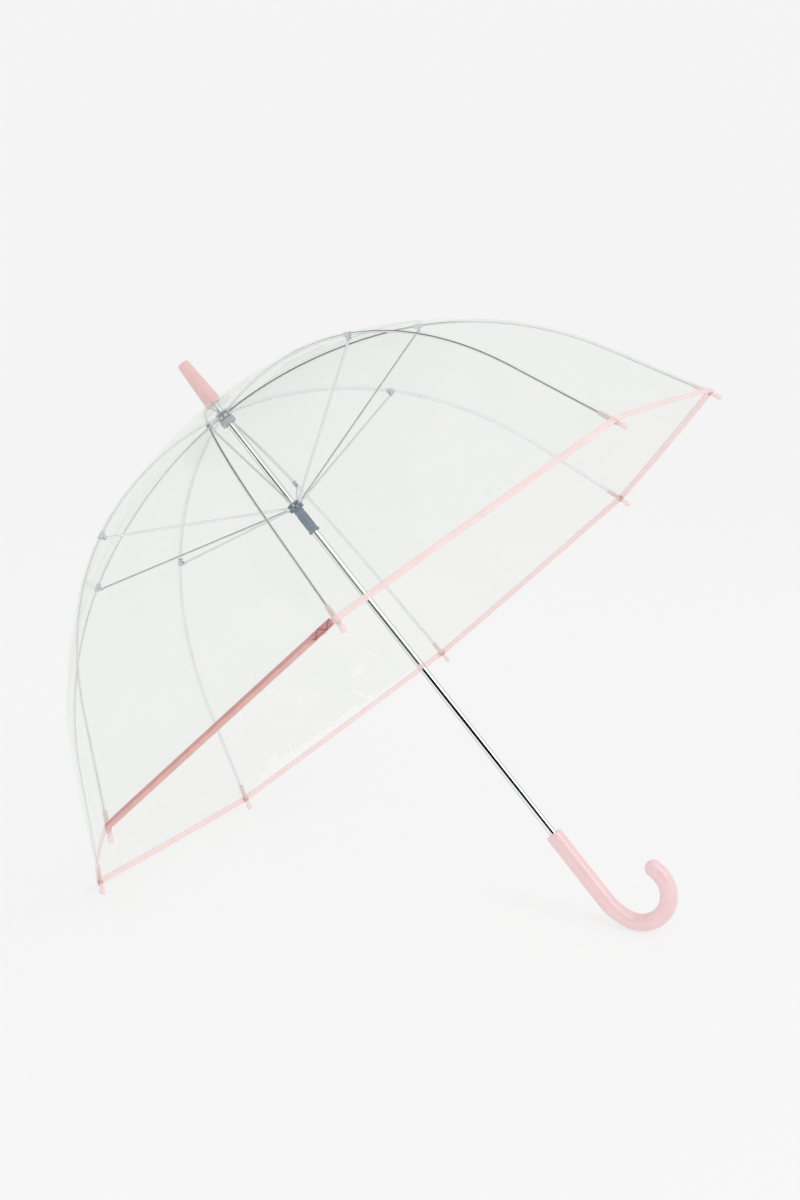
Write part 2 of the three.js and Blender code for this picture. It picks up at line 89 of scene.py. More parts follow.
RIB = {"wire": 1.3 * MM, "heading": -1, "blade": 0.75 * MM, "eye": 1.7 * MM, "hole": 0.85 * MM}
RIB_BENDS = [(470 * MM, -25.3), (372 * MM, -36.8), (122.5 * MM, 0)]
TIP = {"sleeve": 2.65 * MM, "neck": 2.1 * MM, "bulb": 3.3 * MM, "before": 19 * MM, "beyond": 14 * MM}
CLIP = {"along": 235 * MM, "drop": 4.8 * MM, "length": 9 * MM, "outer": 2.6 * MM, "ear": 1.15 * MM}
STRETCHER = {"wire": 1.2 * MM, "blade": 0.75 * MM, "eye": 1.6 * MM, "hole": 1.0 * MM}
EAR_ROOM = STRETCHER["blade"] + 0.3 * MM  # from a clip's middle plane to its ears
CHAMFER = 0.15 * MM  # along the edges of flat parts

NOTCH = {"outer": 8.2 * MM, "hub": 5 * MM, "below": 4.4 * MM, "cap": 2.1 * MM, "above": 4.6 * MM}
STOP = {"outer": 8.8 * MM, "below": 12.1 * MM, "height": 6.4 * MM}
RUNNER = {"bore": 4.3 * MM, "body": 5.4 * MM, "flare": 6.6 * MM, "flare_height": 3.2 * MM}
RUNNER |= {"collar": 8.5 * MM, "above": 3.4 * MM, "fins": 5 * MM, "length": 36.5 * MM}
SLOT_WIDTH = 2.2 * MM

FILM = {"offset": 3.4 * MM, "bulge": 1 / 3, "rim_fade": 90 * MM, "crown_fade": 150 * MM}
SMOOTH_EDGE = 40 * MM  # over this much the wrinkles die out towards the trim
RIPPLES = [(11, 1.6 * MM), (27, 0.6 * MM)]  # how dense they are and how high they stand
PLEATS = {"around": 26, "height": 1.6 * MM, "at": 70 * MM, "spread": 55 * MM}
RIM_FOLDS = {"around": 9, "along": 14, "height": 2.6 * MM, "spread": 75 * MM}
CROWN = {"z": 339.1 * MM, "hole": 4.4 * MM, "flat": 10.5 * MM, "joins": 45 * MM}
WASHER = {"flat": 10.8 * MM, "rim": 20 * MM, "slope": 0.37, "thickness": 0.7 * MM, "lift": 0.75 * MM}
TRIM = {"width": 7.2 * MM, "thickness": 1.3 * MM}
TIE = {"width": 8.5 * MM, "thickness": 0.8 * MM, "end": radians(22.0)}
SNAP = {"radius": 3.6 * MM, "height": 1.8 * MM, "from_tip": 15 * MM}

FERRULE = {"base": 10 * MM, "tip": 7 * MM, "bottom": 341 * MM, "top": 399 * MM, "bore": 388 * MM}
HANDLE = {"radius": 9.5 * MM, "top": -266 * MM, "socket": 36 * MM}
CROOK_BENDS = [(90.5 * MM, 0), (62 * MM, 28), (33 * MM, 165), (4 * MM, 0)]

# ---- where the CAD frame stands

JOINTS = {joint["name"]: joint for joint in frame["joints"]}
RIB_ANGLES = [HALF_STEP + i * RIB_STEP for i in range(RIB_COUNT)]
TIE_RIBS = (5, 6)  # the tie band lies between these two
DULL_RIBS = (1, 4, 5)  # the plating of these is duller
SHEEN_GORE = 3 * RIB_STEP  # the gore between the third and fourth ribs, where the film's painted sheen and painted shade are strongest
CRUMPLE = (radians(-71.6), radians(-70.6))  # where the tie band's crumpled end starts

# How far the rim bows out between a rib and the next one, from a chord (0) to a circle (1). The
# tie band pulls its own stretch straight, and most of the next one.
RIM_BOW = [0.13, 0.13, 0.13, 0.13, 0.13, 0.0, 0.04, 0.10]


def umbrella_basis():
    """The upright umbrella's frame, read from the rib hinges and the runner's slide."""
    hinges = [Vector(JOINTS[f"rib_hinge_{i + 1}"]["pos_m"]) for i in range(RIB_COUNT)]
    middle = sum(hinges, Vector()) / RIB_COUNT
    up = -Vector(JOINTS["runner_slide"]["axis"]).normalized()
    side = ((hinges[0] + hinges[-1]) / 2 - middle).normalized()
    turned = Matrix((side, up.cross(side), up)).transposed().to_4x4()
    return Matrix.Translation(middle - NOTCH_Z * up) @ turned


BASIS = umbrella_basis()
CLIP_PIN = BASIS.inverted() @ Vector(JOINTS["stretcher_hinge_1"]["pos_m"])
PIN_RADIUS, PIN_Z = hypot(CLIP_PIN.x, CLIP_PIN.y), CLIP_PIN.z
LINK_REACH, LINK_RISE = PIN_RADIUS - PIVOT_RADIUS, NOTCH_Z - PIN_Z
LINK_LENGTH = hypot(LINK_REACH, LINK_RISE)
LINK_ANGLE = atan2(LINK_RISE, LINK_REACH)
RUNNER_Z = PIN_Z - LINK_RISE
TRAVEL = JOINTS["runner_slide"]["range_m"][1]


class Path:
    """Straight lines and arcs in the x-z plane, each tangent to the last."""

    def __init__(self, x, z, heading, bends):
        self.spans = []
        self.length = 0
        state = (x, z, radians(heading))
        for size, turn in bends:
            angle = radians(turn)
            span_length = abs(size * angle) if turn else size
            self.spans.append((self.length, span_length, angle, state))
            self.length += span_length
            state = self.at(self.length)

    def at(self, s):
        """(x, z, heading) at arc length s. Before the start and past the end it runs straight on."""
        span = self.spans[0]
        for candidate in self.spans:
            if s >= candidate[0]:
                span = candidate
        start, length, angle, (x, z, heading) = span
        distance = s - start
        if angle == 0 or distance < 0:
            return x + distance * cos(heading), z + distance * sin(heading), heading
        radius = length / angle
        end = heading + distance / radius
        across = radius * (sin(end) - sin(heading))
        return x + across, z - radius * (cos(end) - cos(heading)), end


RIB_PATH = Path(PIVOT_RADIUS, NOTCH_Z, RIB["heading"], RIB_BENDS)
CROOK_PATH = Path(0, HANDLE["top"], -90, CROOK_BENDS)
LYING_DOWN = Matrix.Rotation(pi / 2, 4, "Y")

# ---- mesh helpers


class Shape:
    """Points and faces that become one piece."""

    def __init__(self):
        self.points = []
        self.faces = []

    def add(self, part, place=None):
        points, faces = part
        first = len(self.points)
        moved = points if place is None else [place @ Vector(point) for point in points]
        self.points += [Vector(point) for point in moved]
        self.faces += [[first + corner for corner in face] for face in faces]
        return self


def loft(rings, caps=True, closed=False):
    """A skin over rings of points that have the same number of points each."""
    count = len(rings[0])
    points = [point for ring in rings for point in ring]
    last = len(rings) if closed else len(rings) - 1
    faces = []
    for i in range(last):
        here, there = i * count, (i + 1) % len(rings) * count
        for j in range(count):
            k = (j + 1) % count
            faces.append([here + j, here + k, there + k, there + j])
    if caps and not closed:
        faces.append(list(range(count))[::-1])
        faces.append([(len(rings) - 1) * count + j for j in range(count)])
    return points, faces


def round_point(radius, angle, z):
    """The point at a distance from the z axis, an angle round it and a height."""
    return Vector((radius * cos(angle), radius * sin(angle), z))


def lathe(profile, segments=64, closed=False):
    """A profile of (radius, z) points spun round the z axis, its ends capped unless it is closed."""
    turns = [2 * pi * j / segments for j in range(segments)]
    rings = [[round_point(r, a, z) for a in turns] for r, z in profile]
    return loft(rings, caps=not closed, closed=closed)


def rounded(corners, steps=5):
    """Rounds off the corners of an outline of (a, b, fillet) points."""
    outline = []
    count = len(corners)
    for i, (a, b, fillet) in enumerate(corners):
        here = Vector((a, b))
        if fillet == 0:
            outline.append((a, b))
            continue
        before = Vector(corners[i - 1][:2])
        after = Vector(corners[(i + 1) % count][:2])
        start = here + (before - here).normalized() * fillet
        end = here + (after - here).normalized() * fillet
        for k in range(steps + 1):
            t = k / steps
            point = start * (1 - t) ** 2 + here * 2 * t * (1 - t) + end * t * t
            outline.append((point.x, point.y))
    return outline


def turned_part(corners, segments=64, steps=5):
    """A hollow turned part, from an outline of (radius, z, fillet) points."""
    return lathe(rounded(corners, steps), segments, closed=True)


def oval(sides, square):
    """The points (a, b) of an oval one unit out each way, squarer as square goes up from 2."""
    turns = [2 * pi * j / sides for j in range(sides)]
    pairs = [(cos(turn), sin(turn)) for turn in turns]
    return [[copysign(abs(part) ** (2 / square), part) for part in pair] for pair in pairs]


def ring_at(x, z, heading, half_width, half_height, sides, square=2.0):
    """A cross-section of a bar that runs along heading in the x-z plane."""
    up = Vector((-sin(heading), 0, cos(heading)))
    across = Vector((0, 1, 0))
    middle = Vector((x, 0, z))
    return [middle + across * (half_width * a) + up * (half_height * b) for a, b in oval(sides, square)]


def eased(t):
    """t held between 0 and 1, with a gentle start and end."""
    t = min(1.0, max(0.0, t))
    return t * t * (3 - 2 * t)


def stations(start, end, step):
    """Evenly spaced places from start to end, about a step apart."""
    count = max(1, round((end - start) / step))
    return [start + (end - start) * k / count for k in range(count + 1)]


def bar_along(path, places, size, sides=14):
    """A bar along a path. size(s) gives its half width, half height and squareness."""
    return loft([ring_at(*path.at(s), *size(s)[:2], sides, size(s)[2]) for s in places])


def plate(outline, half):
    """A plate in the x-z plane, centred on y = 0, with chamfered edges."""
    inner = inset(outline, CHAMFER)
    layers = [(inner, -half), (outline, CHAMFER - half), (outline, half - CHAMFER), (inner, half)]
    return loft([[Vector((x, y, z)) for x, z in shape] for shape, y in layers])


def inset(outline, amount):
    """The outline, which runs clockwise in x-z, moved in by amount."""
    moved = []
    count = len(outline)
    for i, (x, z) in enumerate(outline):
        before = Vector(outline[i - 1]) - Vector((x, z))
        after = Vector(outline[(i + 1) % count]) - Vector((x, z))
        normal_in = Vector((-before.y, before.x)).normalized()
        normal_out = Vector((after.y, -after.x)).normalized()
        step = (normal_in + normal_out).normalized() * amount
        moved.append((x + step.x, z + step.y))
    return moved


def eye(x, z, outer, hole, half_thickness):
    """A flat eye, with its hole along y."""
    soft = min(half_thickness, outer - hole) * 0.4
    sides = ((hole, -1), (outer, -1), (outer, 1), (hole, 1))
    points, faces = turned_part([(r, side * half_thickness, soft) for r, side in sides], 28, 3)
    turned = Matrix.Translation((x, 0, z)) @ Matrix.Rotation(pi / 2, 4, "X")
    return [turned @ point for point in points], faces


def sector_block(inner, outer, centre, half_inner, half_outer, low, high, steps=6):
    """A block between two radii and two heights, with a half angle for each radius."""
    corners = [(inner, half_inner, low), (outer, half_outer, low)]
    corners += [(outer, half_outer, high), (inner, half_inner, high)]
    turns = [2 * k / steps - 1 for k in range(steps + 1)]
    return loft([[round_point(r, centre + t * half, z) for r, half, z in corners] for t in turns])


def bevelled(piece):
    """Softens the piece's sharp edges."""
    bevel = piece.modifiers.new("soft_edges", "BEVEL")
    bevel.width = 0.2 * MM
    bevel.segments = 3
    bevel.limit_method = "ANGLE"
    bevel.angle_limit = radians(35)
    bevel.harden_normals = False


SMOOTH_LIMIT = radians(38)


def remember(mesh, name, points):
    """Keeps each vertex's place in another frame, for patterns to be worked out in."""
    kept = mesh.attributes.new(name, "FLOAT_VECTOR", "POINT")
    kept.data.foreach_set("vector", [value for point in points for value in point])


def put(name, data):
    """A new object in the scene."""
    made = bpy.data.objects.new(name, data)
    bpy.context.scene.collection.objects.link(made)
    return made


def make_piece(name, shape, surface, body, replaces=(), turn=0.0, sharp=SMOOTH_LIMIT):
    """Makes a piece that rides on a CAD body and stands for the CAD nodes it replaces.

    Its patterns can follow "own", its place in its rib's frame, or "rest", in the umbrella's.
    """
    turned = Matrix.Rotation(turn, 4, "Z")
    rest = [turned @ point for point in shape.points]
    mesh = bpy.data.meshes.new(name)
    mesh.from_pydata([tuple(BASIS @ point) for point in rest], [], shape.faces)
    remember(mesh, "own", shape.points)
    remember(mesh, "rest", rest)
    mesh.update()
    mesh.shade_smooth()
    if sharp is not None:
        mesh.set_sharp_from_angle(angle=sharp)
    mesh.materials.append(surface)
    piece = put(name, mesh)
    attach(piece, body)
    if replaces:
        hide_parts(*replaces)
    return piece


def rib_piece(name, i, shape, surface, replaces=(), sharp=SMOOTH_LIMIT):
    """A piece that rides on rib i and is made in that rib's frame."""
    body = f"rib_{i + 1}"
    return make_piece(f"{name}_{i + 1}", shape, surface, body, replaces, RIB_ANGLES[i], sharp)


# ---- materials


class Surface:
    """A Principled material whose patterns follow the places kept with each piece."""

    def __init__(self, name, settings, follows="own"):
        self.material = bpy.data.materials.new(name)
        self.material.use_nodes = True
        self.tree = self.material.node_tree
        self.shader = self.tree.nodes["Principled BSDF"]
        for socket, value in settings.items():
            self.shader.inputs[socket].default_value = value
        self.where = self.place(follows)

    def place(self, name):
        source = self.tree.nodes.new("ShaderNodeAttribute")
        source.attribute_name = name
        return source.outputs["Vector"]

    def node(self, kind, inputs, **settings):
        made = self.tree.nodes.new(kind)
        for name, value in settings.items():
            setattr(made, name, value)
        for socket, value in inputs.items():
            if isinstance(value, bpy.types.NodeSocket):
                self.tree.links.new(value, made.inputs[socket])
            else:
                made.inputs[socket].default_value = value
        return made

    def noise(self, scale, detail, where=None, distortion=0.0):
        inputs = {"Scale": scale, "Detail": detail, "Distortion": distortion}
        made = self.node("ShaderNodeTexNoise", {"Vector": where or self.where, **inputs})
        return made.outputs["Fac"]

    def ramp(self, value, low, high, to_low=0.0, to_high=1.0):
        """value from low to high, taken smoothly to to_low and to_high."""
        inputs = {"Value": value, "From Min": low, "From Max": high, "To Min": to_low, "To Max": to_high}
        made = self.node("ShaderNodeMapRange", inputs, interpolation_type="SMOOTHSTEP")
        return made.outputs["Result"]

    def mottle(self, scale, detail, low=0.0, high=1.0):
        """Soft patches between low and high."""
        return self.ramp(self.noise(scale, detail), 0.3, 0.7, low, high)

    def math(self, operation, first, second=0.0):
        return self.node("ShaderNodeMath", {0: first, 1: second}, operation=operation).outputs[0]

    def plus(self, first, second):
        return self.math("ADD", first, second)

    def times(self, first, second):
        return self.math("MULTIPLY", first, second)

    def apart(self, first, second):
        return self.math("ABSOLUTE", self.math("SUBTRACT", first, second))

    def ripple(self, scale, detail, size):
        """Noise from minus half of size to half of it."""
        return self.times(self.math("SUBTRACT", self.noise(scale, detail), 0.5), size)

    def round_place(self):
        """The angle round the shaft and the height above the rim plane."""
        whole = self.node("ShaderNodeSeparateXYZ", {0: self.where}).outputs
        return self.math("ARCTAN2", whole["Y"], whole["X"]), whole["Z"]

    def mix(self, factor, first, second):
        made = self.node("ShaderNodeMix", {"Factor": factor}, data_type="RGBA")
        for socket, value in ((made.inputs[6], first), (made.inputs[7], second)):
            if isinstance(value, bpy.types.NodeSocket):
                self.tree.links.new(value, socket)
            else:
                socket.default_value = (*value, 1)
        return made.outputs[2]

    def set(self, socket, value):
        self.tree.links.new(value, self.shader.inputs[socket])

    def bump(self, height, strength, distance):
        inputs = {"Height": height, "Strength": strength, "Distance": distance}
        self.set("Normal", self.node("ShaderNodeBump", inputs).outputs[0])


def plastic(name, color, shade, roughness, grain=900.0, bump=0.08, **settings):
    """Moulded plastic: a faint mottle, a fine grain and uneven gloss."""
    made = Surface(name, settings)
    made.set("Base Color", made.mix(made.mottle(38, 4), color, shade))
    gloss = made.ramp(made.noise(120, 5), 0.25, 0.75, roughness * 0.8, roughness * 1.25)
    made.set("Roughness", gloss)
    made.bump(made.noise(grain, 4), bump, 0.0002)
    return made.material


def metal(name, color, shade, roughness, edge, grain=0.0, metallic=1.0):
    """Plated steel: a faint change of tone, uneven gloss, and a painted dark reflection at the edges."""
    made = Surface(name, {"Metallic": metallic})
    plated = made.mix(made.mottle(40, 2), color, shade)
    # Painted reflection: the base colour turns darker towards the edges seen side on, standing for dark
    # surroundings mirrored there.
    facing = made.node("ShaderNodeLayerWeight", {"Blend": 0.5}).outputs["Facing"]
    rim = made.ramp(facing, 0.38, 0.62)
    made.set("Base Color", made.mix(rim, plated, tuple(edge * part for part in shade)))
    made.set("Roughness", made.mottle(30, 3, roughness * 0.7, roughness * 1.3))
    if grain:
        made.bump(made.noise(1400, 2), grain, 0.0001)
    return made.material


def film_material():
    """Clear vinyl: almost open face on and denser at a slant, with welds, creases in its relief,
    and soft patches of painted reflection where the film is a little denser and greyer.

    Near the rim, most of all between the third and fourth ribs, light is painted on: thin whiter
    streaks along the rim and a broad whiter band just above the binding, denser film that stands
    for reflected light, and a painted shade that makes the film there a little denser.
    """
    gloss = {"Roughness": 0.07, "Coat Weight": 0.6, "Coat Roughness": 0.03}
    made = Surface("clear_film", {"IOR": 1.5, "Specular IOR Level": 0.7, **gloss}, follows="rest")
    facing = made.node("ShaderNodeLayerWeight", {"Blend": 0.35}).outputs["Facing"]
    slant = made.math("POWER", facing, 3.0)
    across = made.node("ShaderNodeSeparateXYZ", {0: made.place("own")}).outputs["Y"]
    weld = made.ramp(made.math("ABSOLUTE", across), 0.0021, 0.0028, 0.09, 0.0)
    azimuth, height = made.round_place()

    # Painted sheen near the rim: thin whiter streaks along the rim and a broad whiter band just above the
    # binding stand for reflected light, so the film there is made whiter and denser.
    around = made.times(azimuth, 0.17)
    unrolled = made.node("ShaderNodeCombineXYZ", {"X": around, "Z": height}).outputs[0]
    crease = made.noise(44, 1, unrolled, distortion=0.4)
    ridge = made.ramp(made.apart(crease, 0.5), 0.004, 0.050, 1.0, 0.0)
    glint_patch = made.ramp(made.noise(30, 1, unrolled), 0.52, 0.66)
    near_rim = made.ramp(height, 0.03, 0.15, 1.0, 0.0)
    in_sheen_gore = made.ramp(made.apart(azimuth, SHEEN_GORE), 0.22, 0.42, 1.0, 0.12)
    lines = made.times(made.times(ridge, glint_patch), made.times(near_rim, in_sheen_gore))
    widening = made.ramp(made.math("SUBTRACT", azimuth, SHEEN_GORE), -0.36, 0.36, SHEEN_BAND[0], SHEEN_BAND[1])
    above = made.math("SUBTRACT", made.plus(height, made.ripple(16, 1, 0.008)), widening)
    sheen_band = made.times(made.ramp(above, -0.005, 0.004, 1.0, 0.0), in_sheen_gore)
    pale = made.times(made.math("MAXIMUM", lines, sheen_band), 0.42)

    # Painted reflection: soft patches where the film is a little denser and greyer.
    reflection_patches = made.ramp(made.noise(10, 2), 0.35, 0.75, 0.0, 0.035)
    # Painted shade: the film is made a little denser along the rim, in the same gore as the painted sheen.
    shade = made.times(made.times(near_rim, in_sheen_gore), 0.07)
    thin = made.plus(made.times(slant, 0.40), 0.125)
    alpha = made.plus(made.plus(thin, reflection_patches), made.plus(shade, weld))
    # The painted sheen makes the film denser here and near white in its base colour below.
    made.set("Alpha", made.plus(alpha, made.times(pale, 0.85)))
    clear = made.mix(made.mottle(8, 2), (0.70, 0.76, 0.65), (0.77, 0.81, 0.72))
    made.set("Base Color", made.mix(made.ramp(pale, 0.0, 0.2), clear, (0.95, 0.955, 0.94)))
    made.bump(made.plus(made.noise(26, 1), made.times(crease, 0.3)), 0.25, 0.003)
    return made.material


def trim_material():
    """Soft tinted vinyl tape, with a fine emboss and uneven thickness."""
    settings = {"Specular IOR Level": 0.5, "Coat Weight": 0.15, "Coat Roughness": 0.3}
    made = Surface("trim_vinyl", settings)
    tone = made.mottle(45, 4)
    made.set("Base Color", made.mix(tone, (0.990, 0.790, 0.775), (0.995, 0.830, 0.818)))
    made.set("Roughness", made.mottle(150, 3, 0.32, 0.5))
    made.set("Alpha", made.mottle(25, 2, 0.65, 0.75))
    made.bump(made.noise(120, 2), 0.02, 0.0004)
    return made.material


def tie_material():
    """The tie band: doubled vinyl with fine folded lines in its relief. Its upper half is painted darker as
    shade and its lower half lighter, as if lit.

    Its crumpled end is painted darker still as shade, with a zigzag of painted shade lines across its
    folds.
    """
    made = Surface("tie_vinyl", {"Coat Weight": 0.15, "Coat Roughness": 0.3}, follows="rest")
    azimuth, height = made.round_place()
    # Painted shade: the upper half is coloured darker and the lower half lighter, as shaded and lit copies
    # of one vinyl.
    half = made.ramp(made.plus(height, made.ripple(40, 2, 0.002)), 0.0022, 0.0030)
    tone = made.mottle(60, 4)
    upper = made.mix(tone, (0.61, 0.290, 0.280), (0.67, 0.345, 0.325))
    lower = made.mix(tone, (0.74, 0.440, 0.395), (0.80, 0.505, 0.455))
    # Painted shade: the crumpled end is coloured darker, and a zigzag of dark lines stands for shade in its
    # folds.
    crumpled = made.ramp(azimuth, CRUMPLE[0], CRUMPLE[1])
    wave = made.math("PINGPONG", made.times(azimuth, 0.41), 0.0065)
    off_fold = made.apart(made.plus(height, 0.0008), wave)
    zigzag = made.times(made.ramp(off_fold, 0.0003, 0.0011, 1.0, 0.0), crumpled)
    band = made.mix(half, lower, upper)
    darker = made.mix(made.times(crumpled, 0.7), band, (0.52, 0.22, 0.215))
    made.set("Base Color", made.mix(zigzag, darker, (0.33, 0.11, 0.11)))
    made.set("Roughness", made.mottle(150, 3, 0.35, 0.5))
    along = made.node("ShaderNodeMapping", {"Vector": made.where, "Scale": (0.2, 0.2, 1.5)}).outputs[0]
    made.bump(made.noise(900, 3, along), 0.15, 0.0003)
    return made.material


HANDLE_COAT = {"Coat Weight": 0.5, "Coat Roughness": 0.16}

CHROME = metal("chrome_plate", (0.96, 0.97, 0.98), (0.93, 0.94, 0.96), 0.03, 0.38)
RIB_STEEL = metal("rib_steel", (0.88, 0.91, 0.93), (0.80, 0.85, 0.88), 0.12, 0.65)
DULL_STEEL = metal("dull_rib_steel", (0.86, 0.89, 0.91), (0.80, 0.84, 0.87), 0.32, 0.90, metallic=0.35)
STRETCHER_STEEL = metal("stretcher_steel", (0.88, 0.91, 0.93), (0.80, 0.84, 0.87), 0.2, 0.6, metallic=0.7)
PIN_STEEL = metal("pin_steel", (0.70, 0.73, 0.76), (0.60, 0.64, 0.68), 0.20, 0.6, grain=0.02)
SLATE = plastic("slate_plastic", (0.125, 0.175, 0.255), (0.165, 0.220, 0.305), 0.36)
GREY = plastic("grey_plastic", (0.40, 0.415, 0.475), (0.45, 0.47, 0.53), 0.40)
CLIP_GREY = plastic("clip_plastic", (0.54, 0.59, 0.63), (0.60, 0.65, 0.69), 0.38)
PINK = plastic("pink_gloss", (0.885, 0.622, 0.632), (0.905, 0.655, 0.662), 0.24, 90.0, 0.01, **HANDLE_COAT)
FERRULE_PINK = plastic("pink_satin", (0.815, 0.550, 0.530), (0.845, 0.590, 0.565), 0.42, 700.0, 0.06)
TIP_PINK = plastic("tip_vinyl", (0.96, 0.76, 0.74), (0.97, 0.80, 0.78), 0.30, 300.0, 0.03, Alpha=0.60)
MILKY = plastic("milky_plastic", (0.97, 0.97, 0.96), (1.0, 1.0, 0.99), 0.30, 300.0, 0.02, Alpha=0.30)
THREAD = plastic("pink_thread", (0.78, 0.43, 0.41), (0.84, 0.50, 0.47), 0.7, 3000.0, 0.3)
TRIM_VINYL = trim_material()
FILM_VINYL = film_material()
TIE_VINYL = tie_material()

# ---- the stick


def shaft_tube():
    """The chrome tube, with a window for each spring catch."""
    half_window = asin((CATCH["width"] / 2 + GAP) / SHAFT["radius"])
    around = 60
    spread = 2 * pi - 2 * half_window
    angles = [pi + half_window + spread * j / around for j in range(around + 1)]
    height = CATCH["step"] + CATCH["ramp"] + 2 * GAP
    top_edge = RUNNER_Z - RUNNER["length"] - CATCH["off"] + GAP
    low_edge = RUNNER_Z - TRAVEL + RUNNER["above"] + CATCH["off"] - GAP
    windows = [(top_edge - height, top_edge), (low_edge, low_edge + height)]
    levels = {SHAFT["bottom"], SHAFT["top"], *[edge for window in windows for edge in window]}
    plain = 60
    step = (SHAFT["top"] - SHAFT["bottom"]) / plain
    for k in range(1, plain):
        z = SHAFT["bottom"] + k * step
        if all(abs(z - level) > step / 3 for level in levels):
            levels.add(z)
    levels = sorted(levels)
    points, faces = loft([[round_point(SHAFT["radius"], a, z) for a in angles] for z in levels], caps=False)
    for i in reversed(range(len(levels) - 1)):
        middle = (levels[i] + levels[i + 1]) / 2
        if any(low < middle < high for low, high in windows):
            del faces[i * len(angles) + around]
    shape = Shape().add((points, faces))
    piece = make_piece("shaft_tube", shape, CHROME, "stick", ["shaft"], sharp=None)
    wall = piece.modifiers.new("wall", "SOLIDIFY")
    wall.thickness = SHAFT["wall"]
    wall.offset = -1


def ferrule_spike():
    """The pink spike that clamps the film, with a band at its foot and a domed end."""
    top, tip, bottom, base = FERRULE["top"], FERRULE["tip"], FERRULE["bottom"], FERRULE["base"]
    taper, band = (base - tip) / (top - bottom), 3.2 * MM
    corners = [
        (POLE, FERRULE["bore"], 0),
        (BORE, FERRULE["bore"], 0.3 * MM),
        (BORE, bottom, 0.4 * MM),
        (base, bottom, 0.9 * MM),
        (base - taper * band, bottom + band, 0.8 * MM),
        (tip, top, 2.0 * MM),
        (POLE, top + 0.15 * MM, 0),
    ]
    shape = Shape().add(lathe(rounded(corners), 72))
    make_piece("ferrule_spike", shape, FERRULE_PINK, "stick", ["ferrule"])


def crown_disc():
    """The milky disc that presses the film down under the ferrule."""
    low, flat, rim = CROWN["z"] + WASHER["lift"], WASHER["flat"], WASHER["rim"]
    rim_low = low - (rim - flat) * WASHER["slope"]
    thick, soft, bend = WASHER["thickness"], 0.3 * MM, 1.5 * MM
    corners = [
        (BORE, low, soft),
        (flat, low, bend),
        (rim, rim_low, soft),
        (rim, rim_low + thick, soft),
        (flat, low + thick, bend),
        (BORE, low + thick, soft),
    ]
    shape = Shape().add(turned_part(corners, 72))
    make_piece("crown_disc", shape, MILKY, "stick", ["crown_washer"])


def fins(inner, outer, low, high, skipped=None):
    """The fins between the slots that the ribs' or stretchers' ends turn in."""
    halves = [HALF_STEP - asin(SLOT_WIDTH / 2 / radius) for radius in (inner, outer)]
    shape = Shape()
    for i in range(RIB_COUNT):
        if i != skipped:
            shape.add(sector_block(inner, outer, i * RIB_STEP, *halves, low, high))
    return shape.points, shape.faces


def notch_hub():
    """The hub that the ribs hang from."""
    hub, outer, bottom = NOTCH["hub"], NOTCH["outer"], NOTCH_Z - NOTCH["below"]
    cap_low, cap_top = NOTCH_Z + NOTCH["cap"], NOTCH_Z + NOTCH["above"]
    fine, soft = 0.15 * MM, 0.5 * MM
    core = [
        (BORE, bottom, fine),
        (hub, bottom, fine),
        (hub, cap_low, fine),
        (outer, cap_low, soft),
        (outer, cap_top, soft),
        (BORE, cap_top, soft / 2),
    ]
    shape = Shape().add(turned_part(core)).add(fins(hub - OVERLAP, outer, bottom, NOTCH_Z - RING_ROOM))
    bevelled(make_piece("notch_hub", shape, CLIP_GREY, "stick", ["top_notch"]))


def stop_disc():
    """The grey collar that stops the runner, with a groove round it."""
    outer, low = STOP["outer"], NOTCH_Z - STOP["below"]
    high, middle = low + STOP["height"], low + STOP["height"] / 2
    soft, groove, fine = 1.6 * MM, 0.5 * MM, 0.2 * MM
    corners = [
        (BORE, low, 0.3 * MM),
        (outer, low, soft),
        (outer, middle - groove, fine),
        (outer - groove, middle, fine),
        (outer, middle + groove, fine),
        (outer, high, soft),
        (BORE, high, 0.3 * MM),
    ]
    shape = Shape().add(turned_part(corners))
    make_piece("stop_disc", shape, GREY, "stick", ["stop_collar"])


def runner_sleeve():
    """The dark sleeve that slides on the shaft, with its slotted collar, ridges and finger flare."""
    bore, body, flare = RUNNER["bore"], RUNNER["body"], RUNNER["flare"]
    bottom, top = RUNNER_Z - RUNNER["length"], RUNNER_Z + RUNNER["above"]
    fin_low, flare_top = RUNNER_Z - RUNNER["fins"], bottom + RUNNER["flare_height"]
    soft, fine, bead = 0.4 * MM, 0.3 * MM, 0.5 * MM
    sleeve = [
        (bore, bottom, soft),
        (flare, bottom, soft * 2),
        (flare, flare_top, soft * 2),
        (body, flare_top + soft, soft),
        (body, fin_low - 5 * MM, fine),
        (body + bead, fin_low - 4.2 * MM, fine),
        (body + bead, fin_low - 2.4 * MM, fine),
        (body, fin_low - 1.6 * MM, fine),
        (body, top, soft),
        (bore, top, soft),
    ]
    foot, keyway = body - OVERLAP, RIB_COUNT // 2
    shape = Shape().add(turned_part(sleeve))
    shape.add(fins(foot, RUNNER["collar"], fin_low, RUNNER_Z - RING_ROOM, keyway))
    shape.add(fins(foot, RUNNER["collar"], RUNNER_Z + RING_ROOM, top, keyway))
    ridges, half, ridge = 10, radians(5), body + 0.45 * MM
    ridge_low, ridge_high = flare_top + 2 * MM, fin_low - 7 * MM
    for k in range(ridges):
        centre = 2 * pi * (k + 0.5) / ridges
        shape.add(sector_block(foot, ridge, centre, half, half, ridge_low, ridge_high, 2))
    bevelled(make_piece("runner_sleeve", shape, SLATE, "runner", ["runner"]))


